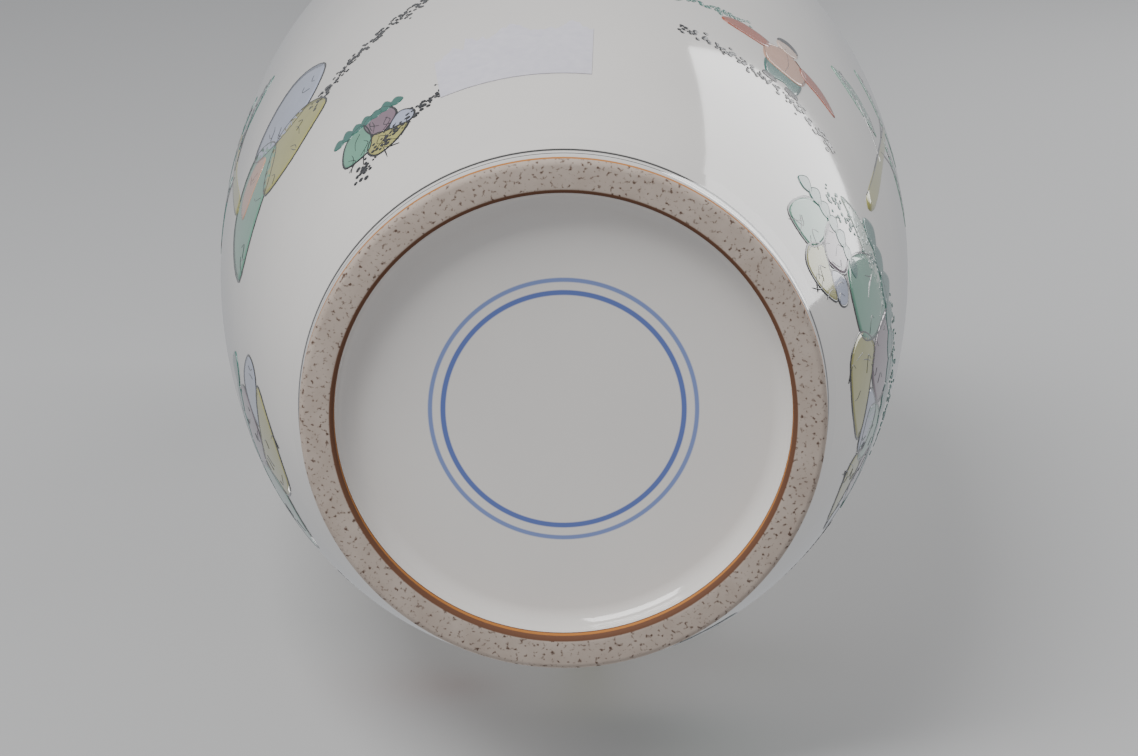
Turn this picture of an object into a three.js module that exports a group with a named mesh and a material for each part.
// A baluster vase of glazed porcelain, thrown in sections and luted together. Millimetres, +Z up.
// The origin is on the axis, at the bottom of the foot, where the vase stands.
import * as THREE from "three";

// Foot: the unglazed ring that the vase stands on, and the glazed recess inside it.
const FOOT_OUTER_RADIUS = 65;
const FOOT_RIM_WIDTH = 8.5;
const FOOT_RIM_CHAMFER = 1.6;
const FOOT_HEIGHT = 14;
const RECESS_DEPTH = 9;
const RECESS_COVE = 5;
const BASE_THICKNESS = 8;

// Body, neck and mouth, from the outside.
const BELLY_RADIUS = 101;
const BELLY_HEIGHT = 228;
const NECK_RADIUS = 35.5;
const NECK_HEIGHT = 390;
const MOUTH_RADIUS = 52;
const VASE_HEIGHT = 450;

// Walls, and the joints between the thrown sections.
const WALL = 6;
const LIP_ROUND = 1.8;
const BELLY_SEAM = 225;
const NECK_SEAM = 352;
const LIP_SEAM = 434;
const TONGUE_HEIGHT = 3;
const CLEARANCE = 0.3;

// Facets round the axis, and points up each section's wall.
const SEGMENTS = 48;
const WALL_POINTS = 11;

const FOOT_RIM_INNER_RADIUS = FOOT_OUTER_RADIUS - FOOT_RIM_WIDTH;
const BODY_START = { r: FOOT_OUTER_RADIUS + 0.3, z: FOOT_HEIGHT - 5.5 };
const BODY_RISE = BELLY_HEIGHT - BODY_START.z;
const SHOULDER_RISE = NECK_HEIGHT - BELLY_HEIGHT;
const NECK_RISE = VASE_HEIGHT - NECK_HEIGHT;

// The outside of the vase above the foot: three cubic curves that share their tangents.
const OUTLINE = [
  [
    [BODY_START.r, BODY_START.z],
    [BODY_START.r + 0.1 * BODY_RISE, BODY_START.z + 0.2 * BODY_RISE],
    [BELLY_RADIUS, BELLY_HEIGHT - 0.45 * BODY_RISE],
    [BELLY_RADIUS, BELLY_HEIGHT],
  ],
  [
    [BELLY_RADIUS, BELLY_HEIGHT],
    [BELLY_RADIUS, BELLY_HEIGHT + 0.62 * SHOULDER_RISE],
    [NECK_RADIUS, NECK_HEIGHT - 0.3 * SHOULDER_RISE],
    [NECK_RADIUS, NECK_HEIGHT],
  ],
  [
    [NECK_RADIUS, NECK_HEIGHT],
    [NECK_RADIUS, NECK_HEIGHT + 0.5 * NECK_RISE],
    [NECK_RADIUS + 0.42 * (MOUTH_RADIUS - NECK_RADIUS), NECK_HEIGHT + 0.78 * NECK_RISE],
    [MOUTH_RADIUS, VASE_HEIGHT],
  ],
];

// One coordinate of a cubic curve at t.
function cubic(points, axis, t) {
  const s = 1 - t;
  return (
    s * s * s * points[0][axis] +
    3 * s * s * t * points[1][axis] +
    3 * s * t * t * points[2][axis] +
    t * t * t * points[3][axis]
  );
}

// The outer radius at a height. Each curve of the outline only rises, so halving finds the height.
function outerRadius(z) {
  if (z <= BODY_START.z) return BODY_START.r;
  const curve = OUTLINE.find((points) => z <= points[3][1]) ?? OUTLINE.at(-1);
  let low = 0;
  let high = 1;
  for (let i = 0; i < 40; i++) {
    const middle = (low + high) / 2;
    if (cubic(curve, 1, middle) < z) low = middle;
    else high = middle;
  }
  return cubic(curve, 0, (low + high) / 2);
}

// The inner radius at a height: the wall is measured square to the outside.
function innerRadius(z) {
  const step = 0.5;
  const slope = (outerRadius(z + step) - outerRadius(z - step)) / (2 * step);
  return outerRadius(z) - WALL * Math.hypot(1, slope);
}

// Evenly spaced heights from one to another, both included.
function heights(from, to, count) {
  return Array.from({ length: count }, (_, i) => from + ((to - from) * i) / (count - 1));
}

// Points of a quarter circle about a centre, from one angle to another, in degrees.
function arc(r, z, radius, from, to, count) {
  return heights(from, to, count).map((degrees) => {
    const a = THREE.MathUtils.degToRad(degrees);
    return [r + radius * Math.cos(a), z + radius * Math.sin(a)];
  });
}

// Turns a closed outline of [radius, height] points round the axis.
function turned(outline) {
  const points = [...outline, outline[0]].map(([r, z]) => new THREE.Vector2(r, z));
  return new THREE.LatheGeometry(points, SEGMENTS).rotateX(Math.PI / 2);
}

const GLAZE = new THREE.MeshStandardMaterial({ color: 0xe9e6df, roughness: 0.12, metalness: 0 });
const BISCUIT = new THREE.MeshStandardMaterial({ color: 0xb9a898, roughness: 0.85, metalness: 0 });

const vase = new THREE.Group();

function addPiece(name, geometry, material) {
  const mesh = new THREE.Mesh(geometry, material);
  mesh.name = name;
  vase.add(mesh);
}

// Half the wall is a tongue that stands up into the section above, and half is the seat round it.
function tongueRadius(z) {
  return (innerRadius(z) + outerRadius(z)) / 2;
}

// The top of a section: its seat, then the tongue on its inner half, outside to inside.
function tongueTop(z) {
  const tongue = tongueRadius(z);
  const inside = innerRadius(z);
  return [
    [outerRadius(z), z],
    [tongue, z],
    [tongue, z + TONGUE_HEIGHT - CLEARANCE],
    [inside, z + TONGUE_HEIGHT - CLEARANCE],
    [inside, z],
  ];
}

// The bottom of a section that stands on a tongue, inside to outside.
function tongueBottom(z) {
  const groove = tongueRadius(z) + CLEARANCE;
  return [
    [innerRadius(z + TONGUE_HEIGHT), z + TONGUE_HEIGHT],
    [groove, z + TONGUE_HEIGHT],
    [groove, z],
    [outerRadius(z), z],
  ];
}

// The outside of a section, upwards, without its two ends.
function outside(from, to) {
  return heights(from, to, WALL_POINTS)
    .slice(1, -1)
    .map((z) => [outerRadius(z), z]);
}

// The inside of a section, downwards, without its two ends.
function inside(from, to) {
  return heights(to, from, WALL_POINTS)
    .slice(1, -1)
    .map((z) => [innerRadius(z), z]);
}

// The foot ring: a flat unglazed rim with eased edges, and a level seat on top.
addPiece(
  "foot_ring",
  turned([
    [FOOT_RIM_INNER_RADIUS + FOOT_RIM_CHAMFER, 0],
    [FOOT_OUTER_RADIUS - FOOT_RIM_CHAMFER, 0],
    [FOOT_OUTER_RADIUS, FOOT_RIM_CHAMFER],
    [BODY_START.r, BODY_START.z],
    [outerRadius(FOOT_HEIGHT), FOOT_HEIGHT],
    [FOOT_RIM_INNER_RADIUS, FOOT_HEIGHT],
    [FOOT_RIM_INNER_RADIUS, FOOT_RIM_CHAMFER],
  ]),
  BISCUIT,
);

// The base floor is let into the ring, with a cove at its edge and a flange on the ring's seat.
const plugRadius = FOOT_RIM_INNER_RADIUS - CLEARANCE;
const wallInsideAtFoot = innerRadius(FOOT_HEIGHT);
const flangeRadius = wallInsideAtFoot - CLEARANCE;
const baseTop = RECESS_DEPTH + BASE_THICKNESS;
addPiece(
  "base_floor",
  turned([
    [0, RECESS_DEPTH],
    ...arc(plugRadius - RECESS_COVE, RECESS_DEPTH - RECESS_COVE, RECESS_COVE, 90, 0, 7),
    [plugRadius, FOOT_HEIGHT],
    [flangeRadius, FOOT_HEIGHT],
    [flangeRadius, baseTop],
    [0, baseTop],
  ]),
  GLAZE,
);

// The lower body stands on the foot ring, round the flange of the base floor.
addPiece(
  "lower_body",
  turned([
    [wallInsideAtFoot, FOOT_HEIGHT],
    [outerRadius(FOOT_HEIGHT), FOOT_HEIGHT],
    ...outside(FOOT_HEIGHT, BELLY_SEAM),
    ...tongueTop(BELLY_SEAM),
    ...inside(FOOT_HEIGHT, BELLY_SEAM),
  ]),
  GLAZE,
);

// The upper body holds the widest part and the shoulder.
addPiece(
  "upper_body",
  turned([
    ...tongueBottom(BELLY_SEAM),
    ...outside(BELLY_SEAM, NECK_SEAM),
    ...tongueTop(NECK_SEAM),
    ...inside(BELLY_SEAM + TONGUE_HEIGHT, NECK_SEAM),
  ]),
  GLAZE,
);

addPiece(
  "neck",
  turned([
    ...tongueBottom(NECK_SEAM),
    ...outside(NECK_SEAM, LIP_SEAM),
    ...tongueTop(LIP_SEAM),
    ...inside(NECK_SEAM + TONGUE_HEIGHT, LIP_SEAM),
  ]),
  GLAZE,
);

// The mouth rim turns outwards to a lip with a flat top and rounded edges.
const lipBase = VASE_HEIGHT - LIP_ROUND;
const lipInside = innerRadius(lipBase);
addPiece(
  "mouth_rim",
  turned([
    ...tongueBottom(LIP_SEAM),
    ...outside(LIP_SEAM, lipBase),
    ...arc(outerRadius(lipBase) - LIP_ROUND, lipBase, LIP_ROUND, 0, 90, 5),
    ...arc(lipInside + LIP_ROUND, lipBase, LIP_ROUND, 90, 180, 5),
    ...inside(LIP_SEAM + TONGUE_HEIGHT, lipBase),
  ]),
  GLAZE,
);

export default vase;
